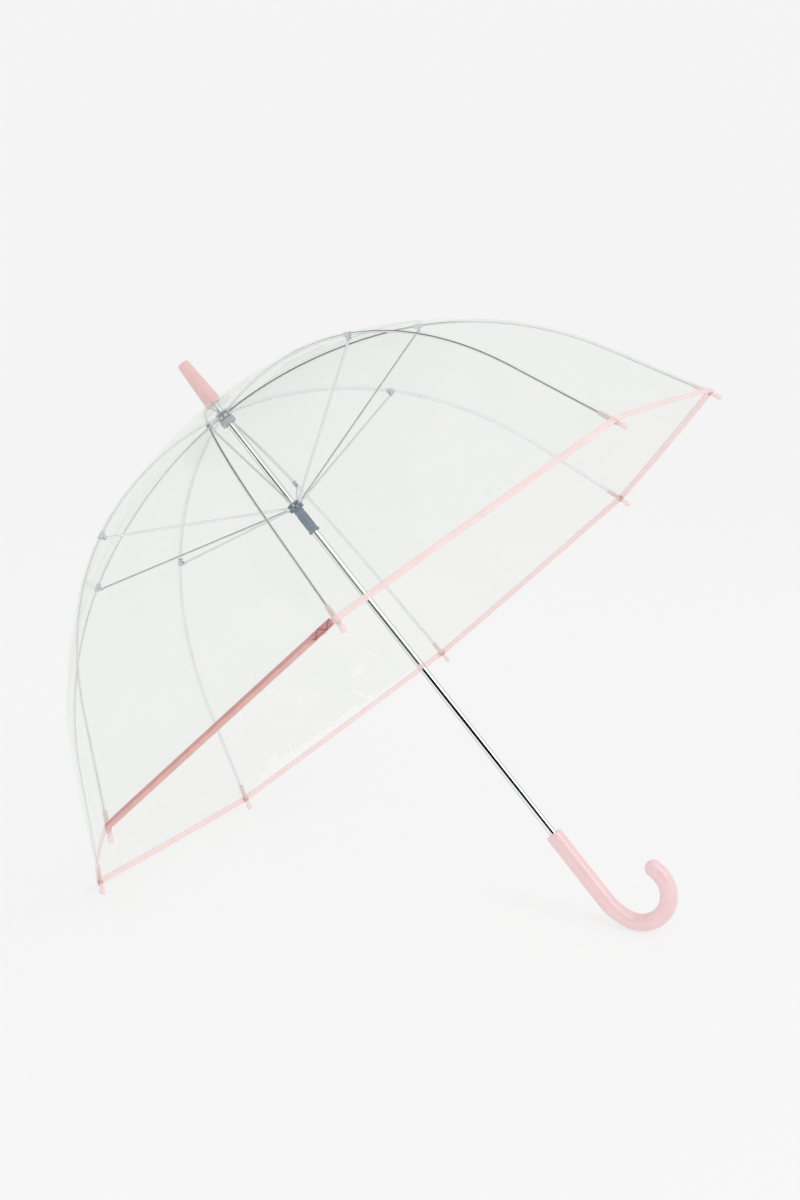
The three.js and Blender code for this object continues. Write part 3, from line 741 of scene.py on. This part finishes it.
def crook_handle():
    """The glossy crook: a socket round the shaft, a rounded shoulder, the bend and a domed end."""
    radius, top, sides, shoulder, lip = HANDLE["radius"], HANDLE["top"], 40, 2.6 * MM, 0.4 * MM
    upright = [(top - HANDLE["socket"], BORE), (top - 2 * lip, BORE), (top - lip / 4, BORE + lip)]
    for k in range(9):
        t = pi / 2 * k / 8
        upright.append((top - shoulder * (1 - cos(t)), radius - shoulder * (1 - sin(t))))
    rings = [ring_at(0, z, -pi / 2, size, size, sides) for z, size in upright]
    for s in stations(shoulder, CROOK_PATH.length, 3 * MM)[1:]:
        rings.append(ring_at(*CROOK_PATH.at(s), radius, radius, sides))
    x, z, heading = CROOK_PATH.at(CROOK_PATH.length)
    for k in range(1, 10):
        t = pi / 2 * k / 9.5
        reach, size = radius * sin(t), radius * cos(t)
        place = (x + reach * cos(heading), z + reach * sin(heading), heading)
        rings.append(ring_at(*place, size, size, sides))
    make_piece("crook_handle", Shape().add(loft(rings)), PINK, "stick", ["handle"])


# ---- ribs and stretchers


def rib_rod(i):
    """A rib: a flat eye on the notch's ring wire, a short blade, then round wire to the tip."""
    wire, blade, tall = RIB["wire"], RIB["blade"], 1.2 * MM
    blade_end, round_from = 6 * MM, 12 * MM

    def size(s):
        t = eased((s - blade_end) / (round_from - blade_end))
        return blade + (wire - blade) * t, tall + (wire - tall) * t, 4 - 2 * t

    along = stations(tall, round_from, 1 * MM)
    along += stations(round_from + 4 * MM, RIB_PATH.length + 2 * MM, 6 * MM)
    shape = Shape().add(bar_along(RIB_PATH, along, size))
    shape.add(eye(PIVOT_RADIUS, NOTCH_Z, RIB["eye"], RIB["hole"], blade))
    steel = DULL_STEEL if i in DULL_RIBS else RIB_STEEL
    rib_piece("rib_rod", i, shape, steel, [f"rib_{i + 1}"])


def on_rib(s):
    """The place on the rib at s: x along the rib, z out from it."""
    x, z, heading = RIB_PATH.at(s)
    return Matrix.Translation((x, 0, z)) @ Matrix.Rotation(-heading, 4, "Y")


def rib_clip(i):
    """The moulded clip on the rib, with two ears for the stretcher's pin."""
    bore, outer, half = RIB["wire"] + GAP, CLIP["outer"], CLIP["length"] / 2
    soft, fine, width = 0.5 * MM, 0.1 * MM, 1.9 * MM
    barrel = [(bore, -half, fine), (outer, -half, soft), (outer, half, soft), (bore, half, fine)]
    shape = Shape().add(turned_part(barrel, 32), LYING_DOWN)
    half_ear = CLIP["ear"] / 2
    root, low = -outer * 0.4, -CLIP["drop"] - 0.8 * width
    ear = [(-width, root, 0), (width, root, 0), (width, low, width * 0.85), (-width, low, width * 0.85)]
    for side in (-1, 1):
        moved = Matrix.Translation((0, side * (EAR_ROOM + half_ear), 0))
        shape.add(plate(rounded(ear), half_ear), moved)
    placed = Shape().add((shape.points, shape.faces), on_rib(CLIP["along"]))
    rib_piece("clip_body", i, placed, CLIP_GREY, [f"rib_clip_{i + 1}"])


def clip_pin(i):
    """The stretcher's pivot pin, with domed ends."""
    half, pin, soft = EAR_ROOM + CLIP["ear"], 0.7 * MM, 0.3 * MM
    profile = rounded([(POLE, -half, 0), (pin, -half, soft), (pin, half, soft), (POLE, half, 0)])
    across = Matrix.Translation((PIN_RADIUS, 0, PIN_Z)) @ Matrix.Rotation(pi / 2, 4, "X")
    shape = Shape().add(lathe(profile, 20), across)
    rib_piece("pin", i, shape, PIN_STEEL, [f"clip_pin_{i + 1}"])


def rib_tip(i):
    """The moulded tip: a sleeve on the wire's end and a bulb past the edge of the film."""
    bore, wire_end, beyond = RIB["wire"] + GAP, 2 * MM + GAP, TIP["beyond"]
    sleeve, bulb, before = TIP["sleeve"], TIP["bulb"], -TIP["before"]
    bulb_low, bulb_top = beyond - 7 * MM, beyond - bulb + 0.6 * MM
    corners = [
        (POLE, wire_end, 0),
        (bore, wire_end, 0.2 * MM),
        (bore, before, 0.2 * MM),
        (sleeve - 0.2 * MM, before, 0.3 * MM),
        (sleeve, -4 * MM, 2 * MM),
        (sleeve, wire_end, 1.5 * MM),
        (TIP["neck"], bulb_low - 1 * MM, 1.5 * MM),
        (bulb, bulb_low + 1.5 * MM, 1.2 * MM),
        (bulb, bulb_top, 1.2 * MM),
        (bulb * 0.62, beyond - 0.35 * MM, 0.8 * MM),
        (POLE, beyond, 0),
    ]
    shape = Shape().add(lathe(rounded(corners), 32), on_rib(RIB_PATH.length) @ LYING_DOWN)
    rib_piece("tip", i, shape, TIP_PINK, [f"rib_tip_{i + 1}"])


def tip_stitch(i):
    """The thread that ties the tip to the edge of the film: three turns round the sleeve."""
    turns, steps, thread = 3, 20, 0.28 * MM
    radius, start = TIP["sleeve"] + thread * 0.6, -1.5 * MM
    rings = []
    for k in range(turns * steps + 1):
        turn = 2 * pi * k / steps
        out, ahead = Vector((0, cos(turn), sin(turn))), Vector((1, 0, 0))
        centre = ahead * (start + 3.2 * thread * k / steps) + out * radius
        rings.append([centre + (out * a + ahead * b) * thread for a, b in oval(6, 2.0)])
    shape = Shape().add(loft(rings), on_rib(RIB_PATH.length))
    rib_piece("stitch", i, shape, THREAD)


def stretcher_rod(i):
    """A stretcher: an open hook on the runner's ring wire, a rod, and an eye on the clip's pin."""
    wire, blade, tall = STRETCHER["wire"], STRETCHER["blade"], 0.9 * MM
    hook_length, web, lip, floor = 8.5 * MM, 1.1 * MM, 1.15 * MM, -0.95 * MM
    under = floor - 1.35 * MM
    hook = [
        (-lip, floor - 0.8 * MM, 0.2 * MM),
        (-lip, floor, 0.2 * MM),
        (0, floor, 0.5 * MM),
        (hook_length - 3.6 * MM, web, 0.8 * MM),
        (hook_length, web, 0),
        (hook_length, -web, 0),
        (hook_length - 3.5 * MM, -web, 0.6 * MM),
        (3 * MM, under, 0.5 * MM),
        (-lip / 2, under, 0.3 * MM),
    ]
    shape = Shape().add(plate(rounded(hook, 3), blade))
    start, end, blend = hook_length - 2.5 * MM, LINK_LENGTH - 1.2 * MM, 3 * MM

    def size(s):
        t = eased(min(s - start, end - s) / blend)
        return blade + (wire - blade) * t, tall + (wire - tall) * t, 4 - 2 * t

    along = stations(start, start + blend, 0.5 * MM)
    along += stations(start + blend + 4 * MM, LINK_LENGTH - 5 * MM, 12 * MM)
    along += stations(end - blend, end, 0.5 * MM)
    shape.add(bar_along(Path(0, 0, 0, [(LINK_LENGTH, 0)]), along, size))
    shape.add(eye(LINK_LENGTH, 0, STRETCHER["eye"], STRETCHER["hole"], blade))
    turned = Matrix.Translation((PIVOT_RADIUS, 0, RUNNER_Z)) @ Matrix.Rotation(-LINK_ANGLE, 4, "Y")
    placed = Shape().add((shape.points, shape.faces), turned)
    name = f"stretcher_{i + 1}"
    make_piece(f"stretcher_rod_{i + 1}", placed, STRETCHER_STEEL, name, [name], RIB_ANGLES[i])


# ---- film, trim and tie band


TRIM_START = RIB_PATH.length - TRIM["width"] / 2
FILM_EDGE = TRIM_START + 1 * MM


def film_seat(s, offset):
    """(radius, z) of the film over the rib at s. Near the crown it rises to the ferrule."""
    x, z, heading = RIB_PATH.at(max(s, CROWN["joins"]))
    radius = x - offset * sin(heading)
    height = z + offset * cos(heading)
    if s >= CROWN["joins"]:
        return radius, height
    t = max(0.0, s / CROWN["joins"])
    lift = CROWN["z"] + offset - FILM["offset"]
    run = radius - CROWN["flat"]
    start_slope, end_slope = -WASHER["slope"] * run, tan(heading) * run
    near, far = eased(t), t * (1 - t)
    curved = lift + (height - lift) * near + far * ((1 - t) * start_slope - t * end_slope)
    return CROWN["flat"] + run * t, curved


def film_point(i, s, angle, offset):
    """A point of the film, its angle measured from rib i. It pulls in from a circle between ribs."""
    radius, height = film_seat(s, offset)
    from_rim = min(1.0, max(0.0, (TRIM_START - s) / FILM["rim_fade"]))
    near_crown = max(0.0, 1 - s / FILM["crown_fade"])
    bow = RIM_BOW[i if angle > 0 else i - 1]
    bulge = bow + (FILM["bulge"] - bow) * from_rim + (1 - FILM["bulge"]) * near_crown
    chord = cos(HALF_STEP) / cos(HALF_STEP - abs(angle))
    pulled = radius * (1 - (1 - bulge) * (1 - chord))
    return round_point(pulled, angle, height)


def wrinkle(s, angle, turn):
    """How far the film stands off its smooth shape: slack ripples, crown pleats and rim folds."""
    whole = angle + turn
    radius, height = film_seat(s, 0)
    place = round_point(radius, whole, height)
    free = 0.25 + 0.75 * abs(cos(RIB_COUNT / 2 * whole))
    to_edge = TRIM_START - s
    to_rim = min(1.0, max(0.0, to_edge / SMOOTH_EDGE))
    slack = sum(noise.noise(place * density) * size for density, size in RIPPLES)
    near_crown = exp(-(((s - PLEATS["at"]) / PLEATS["spread"]) ** 2))
    waves = sin(whole * PLEATS["around"] + 3 * noise.noise(place * 9))
    pleats = waves * noise.noise(place * 6) * PLEATS["height"] * near_crown
    near_rim = exp(-((to_edge / RIM_FOLDS["spread"]) ** 2))
    at_fold = Vector((whole * RIM_FOLDS["around"], s * RIM_FOLDS["along"], 3.7))
    folds = noise.noise(at_fold) * RIM_FOLDS["height"] * near_rim
    return (slack + pleats + folds) * free * to_rim


def film_normal(i, s, angle):
    """Which way the film faces, by small steps along it."""
    step, turn, offset = 0.5 * MM, 0.002, FILM["offset"]
    low, high = max(-HALF_STEP, angle - turn), min(HALF_STEP, angle + turn)
    if abs(angle) < turn:
        low, high = -turn, turn
    along = film_point(i, s + step, angle, offset) - film_point(i, s - step, angle, offset)
    around = film_point(i, s, high, offset) - film_point(i, s, low, offset)
    return around.cross(along).normalized()


def film_sector(i):
    """The part of the dome that is nearest to one rib. Its edges meet its neighbours' exactly."""
    rows = [-1.0, -0.5] + [k / 74 for k in range(75)]
    columns = 32
    angles = [HALF_STEP * (2 * j / columns - 1) for j in range(columns + 1)]
    points = []
    for row in rows:
        s = max(0.0, row) * FILM_EDGE
        for angle in angles:
            if row < 0:
                radius = CROWN["hole"] + (CROWN["flat"] - CROWN["hole"]) * (1 + row)
                points.append(round_point(radius, angle, CROWN["z"]))
                continue
            reach = min(1.0, s / (30 * MM))
            lift = film_normal(i, s, angle) * wrinkle(s, angle, RIB_ANGLES[i]) * reach
            points.append(film_point(i, s, angle, FILM["offset"]) + lift)
    count = columns + 1
    faces = []
    for a in range(len(rows) - 1):
        for b in range(columns):
            here, there = a * count + b, (a + 1) * count + b
            faces.append([here, there, there + 1, here + 1])
    shape = Shape().add((points, faces))
    return rib_piece("film", i, shape, FILM_VINYL, ["canopy"], sharp=None)


def match_normals(sectors):
    """Gives the film one shading across the lines where its sectors meet."""
    rests, normals = [], []
    for piece in sectors:
        count = len(piece.data.vertices)
        rest = np.zeros(count * 3)
        piece.data.attributes["rest"].data.foreach_get("vector", rest)
        rests.append(np.round(rest.reshape(-1, 3), 6))
        normals.append(np.array([vertex.normal for vertex in piece.data.vertices]))
    shared = {}
    for rest, own in zip(rests, normals):
        for point, normal in zip(map(tuple, rest), own):
            shared[point] = shared.get(point, 0) + normal
    for piece, rest in zip(sectors, rests):
        summed = np.array([shared[tuple(point)] for point in rest])
        summed /= np.linalg.norm(summed, axis=1)[:, None]
        piece.data.normals_split_custom_set_from_vertices(summed.tolist())


def rim_ring(i, angle, width, low, high, crease=0.0):
    """A cross-section of a strip that lies along the rim, between two lifts off the rib."""
    ring = []
    for a, b in oval(14, 4.0):
        lift = (low + high) / 2 + (high - low) / 2 * b
        if b > 0:
            lift += crease * (1 - abs(a))
        ring.append(film_point(i, RIB_PATH.length + a * width / 2, angle, lift))
    return ring


TRIM_TOP = FILM["offset"] + TRIM["thickness"]
TIE_START = HALF_STEP - TIE["end"]


def trim_sector(i):
    """The pink binding over the film's edge, from mid-gore to mid-gore round one tip."""
    steps = 36
    low = FILM["offset"] - 0.5 * MM
    angles = [HALF_STEP * (2 * k / steps - 1) for k in range(steps + 1)]
    shape = Shape().add(loft([rim_ring(i, a, TRIM["width"], low, TRIM_TOP) for a in angles]))
    return rib_piece("trim", i, shape, TRIM_VINYL, ["edge_trim"])


def tie_half(i, start, end):
    """Half of the tie band, between two angles from its rib. It narrows to its ends."""
    low, steps = TRIM_TOP + GAP, 24
    rings = []
    for k in range(steps + 1):
        angle = start + (end - start) * k / steps
        from_end = abs(abs(angle) - TIE_START) / radians(2.5)
        width = TIE["width"] * (0.85 + 0.15 * min(1.0, from_end))
        rings.append(rim_ring(i, angle, width, low, low + TIE["thickness"], crease=0.55 * MM))
    return rib_piece("tie_band", i, Shape().add(loft(rings)), TIE_VINYL, ["tie_band"])


def tie_fold(i):
    """The end of the tie band, folded over itself near the tip with a slanting edge."""
    low, thick = TRIM_TOP + GAP + TIE["thickness"] + 0.35 * MM, 0.5 * MM
    reach, steps = radians(4.2), 12
    rings = []
    for k in range(steps + 1):
        t = k / steps
        width = TIE["width"] * (0.80 - 0.72 * max(0.0, (t - 0.45) / 0.55))
        rise = low + thick * sin(pi * t)
        rings.append(rim_ring(i, -TIE_START - reach * t, width, rise, rise + thick, crease=0.4 * MM))
    return rib_piece("tie_fold", i, Shape().add(loft(rings)), TIE_VINYL, ["tie_band"])


def fold_with_ribs(piece):
    """Gives a rim or film piece its own copy of its mesh."""
    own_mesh(piece)


def tie_snap():
    """The press stud inside the rim that the tie band closes on."""
    x, z, heading = RIB_PATH.at(RIB_PATH.length)
    i = TIE_RIBS[1]
    chord = x * cos(HALF_STEP)
    sideways = x * sin(HALF_STEP) - SNAP["from_tip"]
    inward = SNAP["height"] / 2 + GAP - FILM["offset"]
    half, radius, fine = SNAP["height"] / 2, SNAP["radius"], 0.3 * MM
    corners = [
        (POLE, -half, 0),
        (radius, -half, 0.5 * MM),
        (radius, half, 0.7 * MM),
        (radius * 0.62, half, fine),
        (radius * 0.55, half - 2 * fine, fine),
        (radius * 0.30, half - 2 * fine, fine),
        (radius * 0.25, half - 0.1 * MM, 0.2 * MM),
        (POLE, half - 0.1 * MM, 0),
    ]
    seat = Vector((chord + inward * sin(heading), sideways, z - inward * cos(heading)))
    facing_in = Matrix.Translation(seat) @ Matrix.Rotation(pi - heading, 4, "Y")
    shape = Shape().add(lathe(rounded(corners), 40), Matrix.Rotation(-HALF_STEP, 4, "Z") @ facing_in)
    make_piece("snap_stud", shape, TIP_PINK, f"rib_{i + 1}", ["tie_snap"], RIB_ANGLES[i])


# ---- carried-over CAD nodes


def dress_cad_nodes():
    """The ring wires and the spring catches keep their CAD shape and get a better surface."""
    for name in ("notch_ring", "runner_ring", "top_catch", "bottom_catch"):
        node = frame["nodes"][name]
        is_ring = name.endswith("ring")
        if is_ring:
            finer = node.modifiers.new("round", "SUBSURF")
            finer.levels = 2
            finer.render_levels = 2
        else:
            bevelled(node)
        to_umbrella = BASIS.inverted() @ node.matrix_world
        remember(node.data, "own", [to_umbrella @ vertex.co for vertex in node.data.vertices])
        node.data.materials.clear()
        node.data.materials.append(PIN_STEEL if is_ring else CHROME)
        node.data.shade_smooth()


# ---- studio


def plain_material(name, color, emission):
    made = Surface(name, {"Roughness": 0.9, "Specular IOR Level": 0.0, "Emission Strength": emission})
    made.shader.inputs["Base Color"].default_value = (color, color, color, 1)
    made.shader.inputs["Emission Color"].default_value = (1, 1, 1, 1)
    return made.material


def studio():
    """A pale floor that curves up all round, as one seamless bowl."""
    floor_radius, cove, height = 4.0, 2.0, 7.0
    profile = [(0.01, 0.0)] + [(floor_radius * k / 12, 0.0) for k in range(1, 13)]
    for k in range(1, 13):
        a = pi / 2 * k / 12
        profile.append((floor_radius + cove * sin(a), cove * (1 - cos(a))))
    profile.append((floor_radius + cove, height))
    points, faces = lathe(profile, 96)
    mesh = bpy.data.meshes.new("studio_bowl")
    mesh.from_pydata([tuple(point) for point in points], [], faces[:-1])
    mesh.update()
    mesh.shade_smooth()
    mesh.materials.append(plain_material("studio_paper", 0.28, 0.652))
    bowl = put("studio_bowl", mesh)


def dark_card(direction, distance, outline, lean):
    """A dark panel that only mirrors see, so that bright metal has something to reflect."""
    mesh = bpy.data.meshes.new("dark_card")
    mesh.from_pydata([(x, y, 0) for x, y in outline], [], [list(range(len(outline)))])
    mesh.materials.append(plain_material("card_black", 0.012, 0.0))
    card = put("dark_card", mesh)
    card.location = MIDDLE + direction.normalized() * distance
    faced = direction.to_track_quat("Z", "Y") @ Quaternion((0, 0, 1), lean)
    card.rotation_euler = faced.to_euler()
    for rays in ("camera", "diffuse", "transmission", "volume_scatter", "shadow"):
        setattr(card, f"visible_{rays}", False)


def dark_cards():
    """One panel for the streak on the shaft, which thins out upwards, and one each for two ribs."""
    streak = [(-1.3, -0.85), (1.8, -0.85), (1.8, 0), (0.2, 0.08)]
    streak += [(0.15, 0.3), (-0.6, 0.3), (-0.6, 0.08), (-1.3, 0)]
    dark_card(Vector((-0.01, -0.985, 0.17)), 0.95, streak, radians(38))
    dark_card(Vector((-0.52, -0.05, 0.85)), 1.2, oblong(1.9, 1.2), radians(19))
    dark_card(Vector((-0.387, -0.974, 0.65)), 1.23, oblong(1.1, 0.8), radians(30))


def oblong(width, height):
    x, y = width / 2, height / 2
    return [(-x, -y), (x, -y), (x, y), (-x, y)]


def soft_light(name, place, power, size):
    light = bpy.data.lights.new(name, "AREA")
    light.shape = "DISK"
    light.size = size
    light.energy = power
    lamp = put(name, light)
    lamp.location = place
    lamp.rotation_euler = (Vector(place) - MIDDLE).to_track_quat("Z", "Y").to_euler()


def lighting():
    world = bpy.data.worlds.new("studio_air")
    world.use_nodes = True
    sky = world.node_tree.nodes["Background"]
    sky.inputs["Color"].default_value = (1, 1, 1, 1)
    sky.inputs["Strength"].default_value = 0.835
    bpy.context.scene.world = world
    soft_light("key", (2.9, -1.0, 2.9), 24, 2.3)
    soft_light("front", (0.9, -2.1, 3.2), 4.5, 1.5)
    bpy.context.scene.view_settings.view_transform = "Standard"


CAMERA = {
    "aim": (0.00988, 0.00764, 0.32986),
    "distance": 1.9773,
    "azimuth": radians(24.46),
    "elevation": radians(11.89),
    "roll": radians(0.78),
    "lens": 54.1,
    "sensor": 36.0,
}


def camera():
    """The view from the open side, a little above the floor."""
    data = bpy.data.cameras.new("camera")
    data.lens = CAMERA["lens"]
    data.sensor_width = CAMERA["sensor"]
    data.clip_end = 50
    viewer = put("camera", data)
    level = cos(CAMERA["elevation"])
    back = round_point(level, CAMERA["azimuth"] - pi / 2, sin(CAMERA["elevation"]))
    look = (-back).to_track_quat("-Z", "Y").to_matrix().to_4x4()
    place = Matrix.Translation(Vector(CAMERA["aim"]) + back * CAMERA["distance"])
    viewer.matrix_world = place @ look @ Matrix.Rotation(CAMERA["roll"], 4, "Z")
    bpy.context.scene.camera = viewer


# ---- assembly

camera()
studio()
lighting()
dark_cards()

shaft_tube()
ferrule_spike()
crown_disc()
notch_hub()
stop_disc()
runner_sleeve()
crook_handle()
dress_cad_nodes()

sectors = []
for number in range(RIB_COUNT):
    for make in (rib_rod, rib_clip, clip_pin, rib_tip, tip_stitch, stretcher_rod):
        make(number)
    sectors.append(film_sector(number))
match_normals(sectors)

first, second = TIE_RIBS
tie_pieces = {
    first: [tie_half(first, TIE_START, HALF_STEP)],
    second: [tie_half(second, -HALF_STEP, -TIE_START), tie_fold(second)],
}
tie_snap()

for number, sector in enumerate(sectors):
    trims = [trim_sector(number), *tie_pieces.get(number, [])]
    for strip in [sector, *trims]:
        fold_with_ribs(strip)
